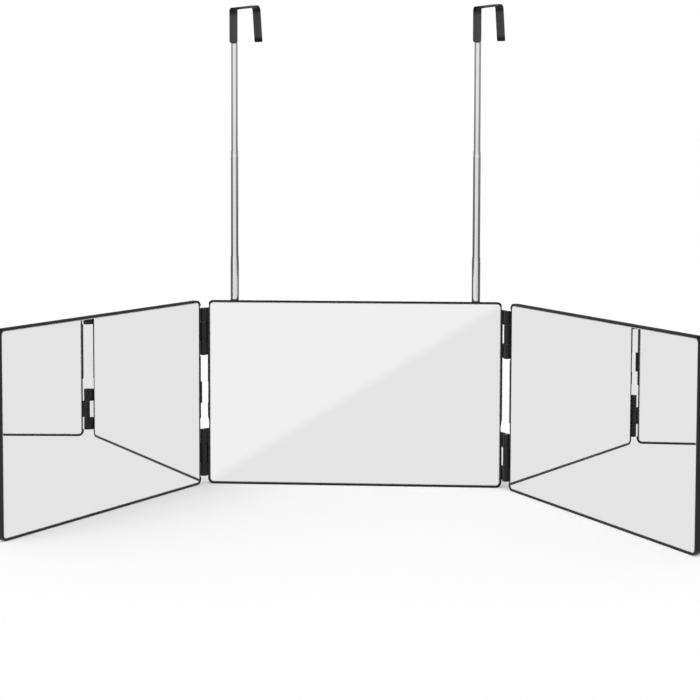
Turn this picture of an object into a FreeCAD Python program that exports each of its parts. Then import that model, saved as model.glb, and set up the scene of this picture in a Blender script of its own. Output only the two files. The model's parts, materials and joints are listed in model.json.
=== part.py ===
import FreeCAD, Part
import math
import os

Vector = FreeCAD.Vector
UP = Vector(0, 0, 1)
LEFT, RIGHT = -1, 1
SIDES = {"left": LEFT, "right": RIGHT}
QUARTER_TURN, HALF_TURN, FULL_TURN = 90, 180, 360

# Format shared by the centre and the two wings
panel_width = 300.0
panel_height = 190.0
corner_radius = 6.0
rim_width = 2.0

# Mirror glass, sunk below its rim and held by strips of foam tape
glass_thickness = 1.8
glass_sink = 0.4
glass_clearance = 0.1
tape_thickness = 0.4
tape_width = 10.0
tape_inset = 3.0

# Telescoping pole: the base tube sets the size of its neighbours
base_tube_diameter = 8.5
tube_wall = 0.3
tube_gap = 0.15
slide_clearance = 0.05
tube_end_length = 3.0
tube_step = 1.0
tube_room = 0.2
tube_seat_gap = 0.3
pole_inset = 27.0
pole_stop = 8.0
base_overlap = 48.0
middle_overlap = 31.7
rod_overlap = 30.8

# Plug in the lower end of the top rod, and the flat at its upper end
plug_head_length = 5.0
plug_spigot_length = 8.0
tongue_thickness = 1.2
tongue_length = 24.0
rod_end_length = 6.0
rod_shoulder = 0.5

# Strap hook, seen along its width as a U upside down
strap_width = 9.0
strap_thickness = 2.2
hook_gap = 45.5
hook_leg = 36.0
hook_rise = 5.0
hook_drop = 38.0
hook_splay = 7.0
hook_near_bend = 1.6
hook_far_bend = 3.6
hook_leg_round = 2.6
hook_tip_round = 1.2
hook_foot_gap = 1.5
left_hook_angle = 66.0
right_hook_angle = 60.0

# Centre tray, drafted towards its back, and the carrier plate behind the glass
carrier_thickness = 1.5
tray_back_wall = 1.6
tray_side_wall = 3.0
tray_draft = 2.1
tray_chamfer = 1.0
notch_outer_room = 7.0
notch_inner_room = 4.2
notch_top_room = 0.5
notch_wall = 1.6
notch_corner = 2.5
saddle_thickness = 2.4
saddle_wall = 3.4
saddle_split = 0.2
saddle_margin = 14.0

# Screws through the tray's back into posts of the carrier
screw_radius = 1.3
screw_head_radius = 2.7
screw_head_height = 1.9
screw_fit = 0.05
screw_drive_radius = 1.2
screw_drive_depth = 1.1
screw_seat = 1.6
screw_tip_gap = 1.0
post_radius = 3.4
screw_inset = 12.0
screw_margin = 16.0
screw_off_notch = 17.0

# Wings: thin trays with ribs behind the glass
wing_depth = 6.0
wing_back_wall = 1.6
wing_chamfer = 0.8
wing_border = 14.0
wing_rib = 1.4
wing_cells_wide = 6
wing_cells_high = 4
layer_gap = 0.3
rest_fold = 61.0

# Pinned hinges
hinge_length = 48.0
hinge_margin = 8.5
barrel_radius = 3.5
barrel_room = 0.9
pin_radius = 1.4
pin_clearance = 0.05
pin_proud = 0.6
pin_dome = 0.4
knuckle_gap = 0.5
wing_knuckle = 19.0
lug_room = 0.5
lug_wall = 2.4
lug_root = 1.1
lug_foot = 4.0
gusset_reach = 11.0
arm_room = 0.3
bridge_room = 0.2
pocket_depth = 1.2
pocket_spare = 12.0
pocket_margin = 1.0
pin_recess_depth = 1.2
pin_recess_reach = 15.0

# Pull tab on the left wing, and the finger slot that it leaves in the tray's rim
tab_length = 22.0
tab_proud = 2.5
tab_thickness = 2.2
slot_depth = 0.9
slot_height = 1.5

# Overrun of cutting tools past the faces that they open
overrun = 1.0

# Depths behind the front plane of the centre
half_width = panel_width / 2
glass_back = glass_sink + glass_thickness
carrier_front = glass_back + tape_thickness
carrier_back = carrier_front + carrier_thickness
base_radius = base_tube_diameter / 2
outer_radius = base_radius + tube_gap + tube_wall
middle_radius = base_radius - tube_wall - tube_gap
rod_radius = middle_radius - tube_wall - tube_gap
pole_depth = carrier_back + tube_room + outer_radius
cavity_back = pole_depth + outer_radius + tube_room
tray_depth = cavity_back + tray_back_wall

# The origin is the middle of the tray's bottom face
front = -tray_depth / 2
pole_y = front + pole_depth
pole_x = half_width - pole_inset

# Places of the hook in its stow notch
hook_near = -tongue_thickness / 2
hook_far = hook_near + hook_gap
hook_flare = hook_drop * math.tan(math.radians(hook_splay))
hook_angles = {LEFT: left_hook_angle, RIGHT: right_hook_angle}
hook_reach = hook_far + hook_flare + strap_thickness
notch_outer = pole_x + notch_outer_room
notch_inner = pole_x - hook_reach - notch_inner_room
stow_foot_gap = 2 * tube_step + hook_foot_gap
notch_floor = panel_height - notch_top_room - hook_rise - hook_leg - stow_foot_gap

# Heights of the pole's stages, stowed and drawn out
stow_base = pole_stop + tube_seat_gap
base_bottom = notch_floor - base_overlap
base_draw = base_bottom - stow_base
base_top = notch_floor + tube_step + base_draw
middle_bottom = base_top - middle_overlap
middle_draw = middle_bottom - base_bottom
middle_top = base_top + tube_step + middle_draw
plug_bottom = middle_top - rod_overlap
rod_draw = plug_bottom - middle_bottom
rod_bottom = plug_bottom + plug_head_length + slide_clearance
hook_foot = middle_top + hook_foot_gap + rod_draw

# Hinge axes: the left wing folds onto the glass, the right wing onto the left one
hinge_offset = barrel_radius + barrel_room
hinge_x = half_width + hinge_offset
hinge_depths = {LEFT: -layer_gap / 2, RIGHT: -(layer_gap + wing_depth + layer_gap / 2)}
hinge_bottoms = [hinge_margin, panel_height - hinge_margin - hinge_length]
tray_knuckle = (hinge_length - wing_knuckle) / 2 - knuckle_gap
wing_edge = half_width + 2 * hinge_offset


def wall_inset(depth):
    """Inset of the tray's drafted outer wall at a depth behind the front plane."""
    return tray_draft * depth / tray_depth


def rounded_wire(left, right, bottom, top, radius, y):
    """Rounded rectangle that stands upright at the depth y."""
    corners = [
        (right - radius, bottom + radius, -QUARTER_TURN),
        (right - radius, top - radius, 0),
        (left + radius, top - radius, QUARTER_TURN),
        (left + radius, bottom + radius, HALF_TURN),
    ]
    arcs = []
    for x, z, start in corners:
        turns = [math.radians(start + QUARTER_TURN * step / 2) for step in range(3)]
        arcs.append([Vector(x + radius * math.cos(t), y, z + radius * math.sin(t)) for t in turns])
    edges = []
    for arc, following in zip(arcs, arcs[1:] + arcs[:1]):
        edges.append(Part.Arc(*arc).toShape())
        edges.append(Part.LineSegment(arc[-1], following[0]).toShape())
    return Part.Wire(edges)


def rounded_plate(left, right, bottom, top, radius, y, depth):
    """Upright plate with rounded corners, from y towards the back."""
    wire = rounded_wire(left, right, bottom, top, radius, y)
    return Part.Face(wire).extrude(Vector(0, depth, 0))


def block(low_x, high_x, low_y, high_y, low_z, high_z):
    """Box between two limits on each axis, given in either order."""
    x, y, z = min(low_x, high_x), min(low_y, high_y), min(low_z, high_z)
    sizes = abs(high_x - low_x), abs(high_y - low_y), abs(high_z - low_z)
    return Part.makeBox(*sizes, Vector(x, y, z))


def upright_rod(radius, x, y, bottom, length):
    """Cylinder along Z."""
    return Part.makeCylinder(radius, length, Vector(x, y, bottom), UP)


def level_rod(radius, x, z, front_y, length):
    """Cylinder along Y, from front_y towards the back."""
    return Part.makeCylinder(radius, length, Vector(x, front_y, z), Vector(0, 1, 0))


def prism(points, bottom, height):
    """Upright prism on a plan of x, y points."""
    corners = [Vector(x, y, bottom) for x, y in points]
    outline = Part.makePolygon(corners + corners[:1])
    return Part.Face(outline).extrude(Vector(0, 0, height))


def turned(profile, x, y):
    """Solid turned about the upright axis through x, y from points of radius and height."""
    corners = [Vector(radius, 0, z) for radius, z in profile]
    outline = Part.makePolygon(corners + corners[:1])
    solid = Part.Face(outline).revolve(Vector(0, 0, 0), UP, FULL_TURN)
    solid.translate(Vector(x, y, 0))
    return solid


def rounded_path(points, radii):
    """Wire through points in the plane y = 0, with an arc at each inner point."""
    edges = []
    start = points[0]
    for before, corner, after, radius in zip(points, points[1:], points[2:], radii):
        back = (before - corner).normalize()
        ahead = (after - corner).normalize()
        half = back.getAngle(ahead) / 2
        run = radius / math.tan(half)
        middle = (back + ahead).normalize() * (radius / math.sin(half) - radius)
        enter = corner + back * run
        leave = corner + ahead * run
        edges.append(Part.LineSegment(start, enter).toShape())
        edges.append(Part.Arc(enter, corner + middle, leave).toShape())
        start = leave
    edges.append(Part.LineSegment(start, points[-1]).toShape())
    return Part.Wire(edges)


def make_glass(left, front_y):
    """Mirror glass of a panel whose left edge and front plane are given."""
    inset = rim_width + glass_clearance
    return rounded_plate(
        left + inset,
        left + panel_width - inset,
        inset,
        panel_height - inset,
        corner_radius - inset,
        front_y + glass_sink,
        glass_thickness,
    )


def make_tape(left, front_y):
    """Four strips of foam tape behind a glass, along its edges."""
    inset = rim_width + tape_inset
    right = left + panel_width
    near, far = front_y + glass_back, front_y + carrier_front
    strips = []
    for low in (inset, panel_height - inset - tape_width):
        strips.append(block(left + inset, right - inset, near, far, low, low + tape_width))
    bottom = inset + tape_width + tape_inset
    top = panel_height - bottom
    for low in (left + inset, right - inset - tape_width):
        strips.append(block(low, low + tape_width, near, far, bottom, top))
    return Part.makeCompound(strips)


def tray_section(depth, inset, bottom_inset, radius):
    """Outline of the tray at a depth; its bottom side has no draft, so that it stands."""
    return rounded_wire(
        inset - half_width, half_width - inset, bottom_inset, panel_height - inset, radius, front + depth
    )


def tray_body():
    """Drafted outer form of the tray, with a chamfer round its back and a level bottom face."""
    shoulder = tray_depth - tray_chamfer
    form = Part.makeLoft(
        [
            tray_section(0, 0, 0, corner_radius),
            tray_section(shoulder, wall_inset(shoulder), 0, corner_radius),
            tray_section(tray_depth, wall_inset(tray_depth) + tray_chamfer, tray_chamfer, corner_radius),
        ],
        True,
        True,
    )
    reach = half_width + overrun
    return block(-reach, reach, front - overrun, -front + overrun, 0, panel_height + overrun).common(form)


def tray_hollow():
    """Recess for glass and carrier, with the room for the poles behind a ledge."""
    recess = rounded_plate(
        rim_width - half_width,
        half_width - rim_width,
        rim_width,
        panel_height - rim_width,
        corner_radius - rim_width,
        front - overrun,
        carrier_back + overrun,
    )
    radius = corner_radius - tray_side_wall / 2
    sections = []
    for depth in (carrier_back - tape_thickness, cavity_back):
        inset = tray_side_wall + wall_inset(depth)
        sections.append(tray_section(depth, inset, tray_side_wall, radius))
    return recess.fuse(Part.makeLoft(sections, True, True))


def notch_box(side, margin, near_y):
    """Room of a stow notch, grown by a margin at its sides and floor."""
    return rounded_plate(
        min(side * notch_inner, side * notch_outer) - margin,
        max(side * notch_inner, side * notch_outer) + margin,
        notch_floor - margin,
        panel_height + notch_corner + overrun,
        notch_corner + margin,
        near_y,
        tray_depth + overrun,
    )


def saddle_heights():
    """Heights of the two saddles that hold a pole's outer tube."""
    return [pole_stop + saddle_margin, notch_floor - notch_wall - saddle_margin]


def saddle(side, z, near_y, far_y):
    """Rib across a pole, from near_y to far_y, with the tube's seat cut out."""
    reach = outer_radius + saddle_wall
    rib = block(side * pole_x - reach, side * pole_x + reach, near_y, far_y, z, z + saddle_thickness)
    seat = upright_rod(outer_radius + slide_clearance, side * pole_x, pole_y, z, saddle_thickness)
    return rib.cut(seat)


def screw_places():
    """Places of the case screws, by x and z."""
    side_x = half_width - screw_inset
    top_x = notch_inner - screw_off_notch
    high_z = panel_height - screw_margin
    middle_z = notch_floor - screw_off_notch
    half = [(side_x, screw_margin), (side_x, middle_z), (top_x, high_z), (top_x, screw_margin)]
    return [(side * x, z) for side in (LEFT, RIGHT) for x, z in half]


def tangent_point(centre, radius, outside, turn):
    """Point where a line from outside touches a circle, on the side given by turn."""
    span = math.hypot(outside[0] - centre[0], outside[1] - centre[1])
    heading = math.atan2(outside[1] - centre[1], outside[0] - centre[0])
    angle = heading + turn * math.acos(radius / span)
    return centre[0] + radius * math.cos(angle), centre[1] + radius * math.sin(angle)


def tray_lug(side, bottom):
    """One knuckle of the tray: barrel, wall and two triangular gussets down to the side wall."""
    axis_y = front + hinge_depths[side]
    clear_x = half_width + lug_room
    root_x = half_width - lug_root
    foot_x = root_x - wall_inset(gusset_reach)
    foot_y = front + gusset_reach
    rim_y = front + arm_room
    barrel = upright_rod(barrel_radius, side * hinge_x, axis_y, bottom, tray_knuckle)
    wall = [
        (side * root_x, rim_y),
        (side * clear_x, rim_y),
        (side * clear_x, axis_y),
        (side * (clear_x + lug_wall), axis_y),
        (side * (clear_x + lug_wall), front + lug_foot),
        (side * root_x, front + lug_foot),
    ]
    centre = hinge_x, axis_y
    gusset = [
        (side * root_x, rim_y),
        (side * clear_x, rim_y),
        (side * clear_x, axis_y),
        (side * hinge_x, axis_y),
    ]
    touch = tangent_point(centre, barrel_radius, (foot_x, foot_y), -1)
    gusset += [(side * touch[0], touch[1]), (side * foot_x, foot_y)]
    lug = barrel.fuse(prism(wall, bottom, tray_knuckle))
    for low in (bottom, bottom + tray_knuckle - lug_wall):
        lug = lug.fuse(prism(gusset, low, lug_wall))
    return lug


def hinge_bridge(side, bottom):
    """Wall behind the wing's knuckle, which joins the two lugs of a hinge."""
    near_y = front + hinge_depths[side] + barrel_radius + bridge_room
    return block(
        side * (half_width - lug_root),
        side * hinge_x,
        near_y,
        near_y + lug_wall,
        bottom,
        bottom + hinge_length,
    )


def pin_recess(side, top):
    """Slanted recess in the tray's side wall, above a hinge, through which its pin goes in."""
    corners = []
    for depth, z in ((-overrun, top), (-overrun, top + pin_recess_reach), (gusset_reach, top)):
        x = half_width - pin_recess_depth - wall_inset(depth)
        corners.append(Vector(side * x, front + depth, z))
    outline = Part.makePolygon(corners + corners[:1])
    return Part.Face(outline).extrude(Vector(side * hinge_offset, 0, 0))


def make_tray():
    """Back shell of the centre, with stow notches, tube saddles, screw seats and hinge lugs."""
    body = tray_body()
    tray = body.cut(tray_hollow())
    inner_y = front + carrier_back
    back_y = front + tray_depth
    adds, cuts = [], []
    for side in SIDES.values():
        adds.append(notch_box(side, notch_wall, inner_y).common(body))
        cuts.append(notch_box(side, 0, inner_y))
        cuts.append(
            upright_rod(
                outer_radius + slide_clearance,
                side * pole_x,
                pole_y,
                notch_floor - notch_wall - overrun,
                notch_wall + 2 * overrun,
            )
        )
        for z in saddle_heights():
            adds.append(saddle(side, z, pole_y, front + cavity_back + tray_back_wall / 2))
        reach = outer_radius + saddle_wall
        adds.append(
            block(
                side * pole_x - reach,
                side * pole_x + reach,
                inner_y + saddle_split,
                front + cavity_back + tray_back_wall / 2,
                tray_side_wall / 2,
                pole_stop,
            )
        )
        for low in hinge_bottoms:
            adds.append(tray_lug(side, low))
            adds.append(tray_lug(side, low + hinge_length - tray_knuckle))
            if side == LEFT:
                adds.append(hinge_bridge(side, low))
            cuts.append(
                upright_rod(
                    pin_radius + pin_clearance,
                    side * hinge_x,
                    front + hinge_depths[side],
                    low - overrun,
                    hinge_length + 2 * overrun,
                )
            )
            cuts.append(pin_recess(side, low + hinge_length))
    seat_y = back_y - screw_head_height - screw_seat
    for x, z in screw_places():
        adds.append(level_rod(post_radius + screw_seat, x, z, seat_y, screw_head_height + tray_chamfer))
        cuts.append(level_rod(screw_radius + screw_fit, x, z, seat_y - overrun, screw_seat + 2 * overrun))
        cuts.append(
            level_rod(
                screw_head_radius + screw_fit, x, z, back_y - screw_head_height, screw_head_height + overrun
            )
        )
    cuts.append(
        block(
            slot_depth - half_width,
            -half_width - overrun,
            front - overrun,
            front + slot_height,
            (panel_height - tab_length) / 2,
            (panel_height + tab_length) / 2,
        )
    )
    return tray.fuse(adds).cut(cuts).removeSplitter()


def make_carrier():
    """Plate that carries the centre glass, with screw posts and upper halves of the saddles."""
    inset = rim_width + glass_clearance
    plate = rounded_plate(
        inset - half_width,
        half_width - inset,
        inset,
        panel_height - inset,
        corner_radius - inset,
        front + carrier_front,
        carrier_thickness,
    )
    middle_y = front + (carrier_front + carrier_back) / 2
    seat_y = front + tray_depth - screw_head_height - screw_seat
    adds, cuts = [], []
    for side in SIDES.values():
        for z in saddle_heights():
            adds.append(saddle(side, z, middle_y, pole_y - saddle_split))
    for x, z in screw_places():
        adds.append(level_rod(post_radius, x, z, middle_y, seat_y - middle_y))
        depth = seat_y - front - carrier_back
        cuts.append(level_rod(screw_radius + screw_fit, x, z, front + carrier_back, depth + overrun))
    return plate.fuse(adds).cut(cuts).removeSplitter()


def make_screws():
    """Case screws with a domed head and a square drive."""
    seat_y = front + tray_depth - screw_head_height
    tip_y = front + carrier_back + screw_tip_gap
    drive = screw_drive_radius / math.sqrt(2)
    screws = []
    for x, z in screw_places():
        shank = level_rod(screw_radius, x, z, tip_y, seat_y - tip_y)
        head = Part.makeCone(
            screw_head_radius,
            screw_head_radius - screw_head_height / 2,
            screw_head_height,
            Vector(x, seat_y, z),
            Vector(0, 1, 0),
        )
        far_y = seat_y + screw_head_height
        socket = block(x - drive, x + drive, far_y - screw_drive_depth, far_y + overrun, z - drive, z + drive)
        screws.append(shank.fuse(head).cut(socket))
    return Part.makeCompound(screws)


def wing_left(side):
    """X of a wing's left edge when it lies flat beside the centre."""
    return wing_edge if side == RIGHT else -wing_edge - panel_width


def wing_front(side):
    """Front plane of a wing when it lies flat beside the centre."""
    return front + hinge_depths[side] + layer_gap / 2


def wing_section(left, front_y, depth, inset):
    """Outline of a wing's shell at a depth behind its front plane."""
    return rounded_wire(
        left + inset,
        left + panel_width - inset,
        inset,
        panel_height - inset,
        corner_radius - inset,
        front_y + depth,
    )


def wing_cells(left, front_y):
    """Pockets between the ribs behind a wing's glass."""
    cell_wide = (panel_width - 2 * wing_border + wing_rib) / wing_cells_wide
    cell_high = (panel_height - 2 * wing_border + wing_rib) / wing_cells_high
    near, far = front_y + carrier_front - overrun, front_y + wing_depth - wing_back_wall
    cells = []
    for column in range(wing_cells_wide):
        for row in range(wing_cells_high):
            x = left + wing_border + column * cell_wide
            z = wing_border + row * cell_high
            cells.append(block(x, x + cell_wide - wing_rib, near, far, z, z + cell_high - wing_rib))
    return cells


def make_wing_shell(side):
    """Shell of a wing, flat beside the centre, with its hinge pockets and knuckles."""
    left, front_y = wing_left(side), wing_front(side)
    axis_y = front + hinge_depths[side]
    shell = Part.makeLoft(
        [
            wing_section(left, front_y, 0, 0),
            wing_section(left, front_y, wing_depth - wing_chamfer, 0),
            wing_section(left, front_y, wing_depth, wing_chamfer),
        ],
        True,
        True,
    )
    cuts = wing_cells(left, front_y)
    cuts.append(
        rounded_plate(
            left + rim_width,
            left + panel_width - rim_width,
            rim_width,
            panel_height - rim_width,
            corner_radius - rim_width,
            front_y - overrun,
            carrier_front + overrun,
        )
    )
    adds, bores = [], []
    for low in hinge_bottoms:
        cuts.append(
            block(
                side * (wing_edge - overrun),
                side * (wing_edge + pocket_depth),
                front_y - overrun,
                front_y + wing_depth + overrun,
                low - pocket_margin,
                min(low + hinge_length + pocket_spare, panel_height - corner_radius),
            )
        )
        knuckle_low = low + (hinge_length - wing_knuckle) / 2
        adds.append(upright_rod(barrel_radius, side * hinge_x, axis_y, knuckle_low, wing_knuckle))
        adds.append(
            block(
                side * hinge_x,
                side * (wing_edge + (pocket_depth + rim_width) / 2),
                axis_y + arm_room,
                axis_y + barrel_radius,
                knuckle_low,
                knuckle_low + wing_knuckle,
            )
        )
        bores.append(
            upright_rod(
                pin_radius + pin_clearance, side * hinge_x, axis_y, low - overrun, hinge_length + 2 * overrun
            )
        )
    if side == LEFT:
        adds.append(
            block(
                side * (wing_edge - tab_proud),
                side * (wing_edge + rim_width / 2),
                front_y + layer_gap,
                front_y + layer_gap + tab_thickness,
                (panel_height - tab_length) / 2,
                (panel_height + tab_length) / 2,
            )
        )
    return shell.cut(cuts).fuse(adds).cut(bores).removeSplitter()


def folded_out(shape, side):
    """A wing's piece turned from flat to its rest angle about its hinge."""
    shape.rotate(Vector(side * hinge_x, front + hinge_depths[side], 0), UP, -side * rest_fold)
    return shape


def make_pins(side):
    """The two hinge pins of one side, each with a domed upper end."""
    pins = []
    for low in hinge_bottoms:
        top = low + hinge_length + pin_proud
        profile = [
            (0, low),
            (pin_radius, low),
            (pin_radius, top - pin_dome),
            (pin_radius - pin_dome, top),
            (0, top),
        ]
        pins.append(turned(profile, side * hinge_x, front + hinge_depths[side]))
    return Part.makeCompound(pins)


def tube_profile(radius, bottom, top, flare):
    """Half section of a tube with a flared foot and a crimped neck."""
    bore = radius - tube_wall
    lip = tube_gap - slide_clearance
    foot = lip if flare else 0
    end = tube_end_length
    return [
        (radius + foot, bottom),
        (radius + foot, bottom + end),
        (radius, bottom + 2 * end),
        (radius, top - 2 * end),
        (radius - lip, top - end),
        (radius - lip, top),
        (bore - lip, top),
        (bore - lip, top - end),
        (bore, top - 2 * end),
        (bore, bottom + 2 * end),
        (bore + foot, bottom + end),
        (bore + foot, bottom),
    ]


def make_tube(side, radius, bottom, top, flare=True):
    """One tube of a pole."""
    return turned(tube_profile(radius, bottom, top, flare), side * pole_x, pole_y)


def make_plug(side):
    """Plug that slides in the middle tube and on which the top rod turns."""
    head = middle_radius - tube_wall - slide_clearance
    spigot = rod_radius - tube_wall - slide_clearance
    profile = [
        (0, plug_bottom),
        (head, plug_bottom),
        (head, plug_bottom + plug_head_length),
        (spigot, plug_bottom + plug_head_length),
        (spigot, rod_bottom + plug_spigot_length),
        (0, rod_bottom + plug_spigot_length),
    ]
    return turned(profile, side * pole_x, pole_y)


def aimed(shape, side):
    """A piece made about the Z axis with its hook along +X, set on its pole at rest."""
    shape.rotate(Vector(0, 0, 0), UP, hook_angles[side])
    shape.translate(Vector(side * pole_x, pole_y, 0))
    return shape


def make_rod(side):
    """Top rod: a tube with a solid upper end that is flattened to a tongue."""
    shoulder = hook_foot - rod_shoulder
    top = hook_foot + tongue_length
    bore = rod_radius - tube_wall
    rod = turned(
        [
            (bore, rod_bottom),
            (rod_radius, rod_bottom),
            (rod_radius, top),
            (0, top),
            (0, shoulder - rod_end_length),
            (bore, shoulder - rod_end_length),
        ],
        0,
        0,
    )
    flats = []
    for sign in (-1, 1):
        flats.append(
            block(
                sign * tongue_thickness / 2,
                sign * (rod_radius + overrun),
                -rod_radius - overrun,
                rod_radius + overrun,
                shoulder,
                top + overrun,
            )
        )
    return aimed(rod.cut(flats), side)


def make_hook(side):
    """Bent strap: leg on the rod's tongue, rising bridge, and a free leg that splays out."""
    crown = hook_foot + hook_leg - strap_thickness
    points = [
        Vector(hook_near, 0, hook_foot),
        Vector(hook_near, 0, crown),
        Vector(hook_far, 0, crown + hook_rise),
        Vector(hook_far + hook_flare, 0, hook_foot + hook_leg + hook_rise - hook_drop),
    ]
    inner = rounded_path(points, [hook_near_bend, hook_far_bend])
    section = inner.makeOffset2D(strap_thickness, 0, True, True, False)
    strap = section.extrude(Vector(0, strap_width, 0))
    strap.translate(Vector(0, -strap_width / 2, 0))
    ends = [edge for edge in strap.Edges if math.isclose(edge.Length, strap_thickness, rel_tol=1e-6)]
    near = [edge for edge in ends if edge.CenterOfMass.x < hook_gap / 2]
    far = [edge for edge in ends if edge.CenterOfMass.x > hook_gap / 2]
    strap = strap.makeFillet(hook_leg_round, near)
    strap = strap.makeFillet(hook_tip_round, far_edges(strap, far))
    return aimed(strap, side)


def far_edges(solid, edges):
    """The edges of a solid that lie where the given ones lay before a fillet."""
    places = [edge.CenterOfMass for edge in edges]
    return [
        edge
        for edge in solid.Edges
        if any(edge.CenterOfMass.isEqual(place, slide_clearance) for place in places)
    ]


def build_nodes():
    """All pieces by name, in the rest pose."""
    nodes = {
        "center_tray": make_tray(),
        "carrier_plate": make_carrier(),
        "center_glass": make_glass(-half_width, front),
        "center_tape": make_tape(-half_width, front),
        "case_screws": make_screws(),
    }
    for name, side in SIDES.items():
        left, front_y = wing_left(side), wing_front(side)
        nodes[f"{name}_hinge_pins"] = make_pins(side)
        nodes[f"{name}_wing_shell"] = folded_out(make_wing_shell(side), side)
        nodes[f"{name}_wing_glass"] = folded_out(make_glass(left, front_y), side)
        nodes[f"{name}_wing_tape"] = folded_out(make_tape(left, front_y), side)
        nodes[f"{name}_outer_tube"] = make_tube(side, outer_radius, pole_stop, notch_floor, flare=False)
        nodes[f"{name}_base_tube"] = make_tube(side, base_radius, base_bottom, base_top)
        nodes[f"{name}_middle_tube"] = make_tube(side, middle_radius, middle_bottom, middle_top)
        nodes[f"{name}_rod_plug"] = make_plug(side)
        nodes[f"{name}_top_rod"] = make_rod(side)
        nodes[f"{name}_hook_strap"] = make_hook(side)
    return nodes


os.makedirs("parts", exist_ok=True)
for node, shape in build_nodes().items():
    shape.exportStep(os.path.join("parts", node + ".step"))
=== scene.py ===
import json
import math

import bmesh
import bpy
import numpy as np
from bpy.props import FloatProperty, FloatVectorProperty, PointerProperty
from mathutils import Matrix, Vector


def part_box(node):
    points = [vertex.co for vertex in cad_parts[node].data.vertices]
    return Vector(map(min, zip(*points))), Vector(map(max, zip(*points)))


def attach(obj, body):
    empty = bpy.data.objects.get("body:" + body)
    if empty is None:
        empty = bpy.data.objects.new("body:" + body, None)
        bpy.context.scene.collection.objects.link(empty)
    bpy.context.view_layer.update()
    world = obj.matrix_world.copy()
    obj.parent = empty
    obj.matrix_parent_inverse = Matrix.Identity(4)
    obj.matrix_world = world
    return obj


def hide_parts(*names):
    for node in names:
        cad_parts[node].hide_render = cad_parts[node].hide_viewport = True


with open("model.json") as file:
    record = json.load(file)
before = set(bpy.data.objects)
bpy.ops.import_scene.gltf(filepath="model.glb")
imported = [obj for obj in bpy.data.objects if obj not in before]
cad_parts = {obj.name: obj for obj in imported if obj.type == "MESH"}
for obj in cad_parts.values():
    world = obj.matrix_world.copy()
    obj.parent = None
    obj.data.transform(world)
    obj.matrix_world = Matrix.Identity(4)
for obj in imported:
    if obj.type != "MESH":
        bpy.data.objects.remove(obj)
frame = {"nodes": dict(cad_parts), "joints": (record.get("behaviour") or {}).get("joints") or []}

bl_info = {
    "name": "Folding Mirror",
    "version": (1, 0, 0),
    "blender": (4, 5, 0),
    "location": "View3D > Sidebar > Folding Mirror",
    "description": "Dresses a three-panel hanging mirror and sets its studio stage",
    "category": "Object",
}

SIDES = {"left": -1, "right": 1}
JOINTS = {joint["name"]: joint for joint in frame["joints"]}
GLASS_LOW, GLASS_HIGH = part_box("center_glass")
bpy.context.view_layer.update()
UP, DOWN = (0.0, 0.0, 1.0), (0.0, 0.0, -1.0)
FRONT, BACK = (0.0, -1.0, 0.0), (0.0, 1.0, 0.0)


# ---------------------------------------------------------------- settings


def length(name, description, default):
    """A size in metres that a user may change."""
    return FloatProperty(name=name, description=description, default=default, unit="LENGTH", precision=5)


def share(name, description, default):
    """A plain factor between 0 and 1."""
    return FloatProperty(
        name=name, description=description, default=default, min=0.0, max=1.0, subtype="FACTOR"
    )


def angle(name, description, default):
    """An angle in radians."""
    return FloatProperty(name=name, description=description, default=default, subtype="ANGLE")


def colour(name, description, default):
    """A linear colour."""
    return FloatVectorProperty(
        name=name, description=description, default=default, size=3, min=0.0, max=1.0, subtype="COLOR"
    )


class MirrorSizes(bpy.types.PropertyGroup):
    """Sizes of the pieces that are shaped here."""

    rim_width: length("Rim width", "Width of the plastic rim round each glass", 0.002)
    glass_clearance: length("Glass clearance", "Gap between a glass and its rim", 0.0001)
    glass_bevel: length("Glass bevel", "Width of the polished bevel round each glass", 0.0008)
    glass_bevel_depth: length("Glass bevel depth", "How far the bevel falls away at the edge", 0.0004)
    corner_radius: length("Corner radius", "Outer corner radius of each panel", 0.006)
    hook_gap: length("Hook gap", "Clear width between the legs of a hook", 0.0455)
    hook_leg: length("Hook leg", "Height of a hook's leg on its rod", 0.036)
    hook_rise: length("Hook rise", "Rise of a hook's bridge towards its free leg", 0.005)
    hook_drop: length("Hook drop", "Fall of a hook's free leg", 0.038)
    hook_splay: angle("Hook splay", "Outward lean of a hook's free leg", math.radians(7))
    hook_tongue: length("Tongue thickness", "Thickness of the rod's flat that a hook lies on", 0.0012)
    strap_width: length("Strap width", "Width of a hook's strap", 0.009)
    strap_thickness: length("Strap thickness", "Thickness of a hook's strap with its coating", 0.0022)
    strap_edge: length("Strap edge", "Radius that the coating gives to the strap's edges", 0.0008)
    near_bend: length("Near bend", "Inner radius of the bend above the rod", 0.0016)
    far_bend: length("Far bend", "Inner radius of the bend above the free leg", 0.0036)
    leg_round: length("Leg round", "Corner radius at the foot of the leg", 0.0026)
    tip_round: length("Tip round", "Corner radius at the tip of the free leg", 0.0012)
    # painted shade: how far the darkening of a hook's bends and tip reaches
    bend_shade_reach: length("Coat pool", "How far the thicker coating reaches from a bend or the tip", 0.005)
    screw_head: length("Screw head", "Radius of a case screw's head", 0.0027)
    screw_shank: length("Screw shank", "Radius of a case screw's shank", 0.0013)
    screw_height: length("Screw head height", "Height of a case screw's head", 0.0019)
    screw_dome: length("Screw dome", "How far a screw's head rises from its rim to its middle", 0.0008)
    screw_arm: length("Screw recess arm", "Half the width of an arm of the screw's cross recess", 0.00036)
    screw_reach: length("Screw recess reach", "Length of an arm of the screw's cross recess", 0.0015)
    screw_recess: length("Screw recess depth", "Depth of the screw's cross recess", 0.0011)


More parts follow.
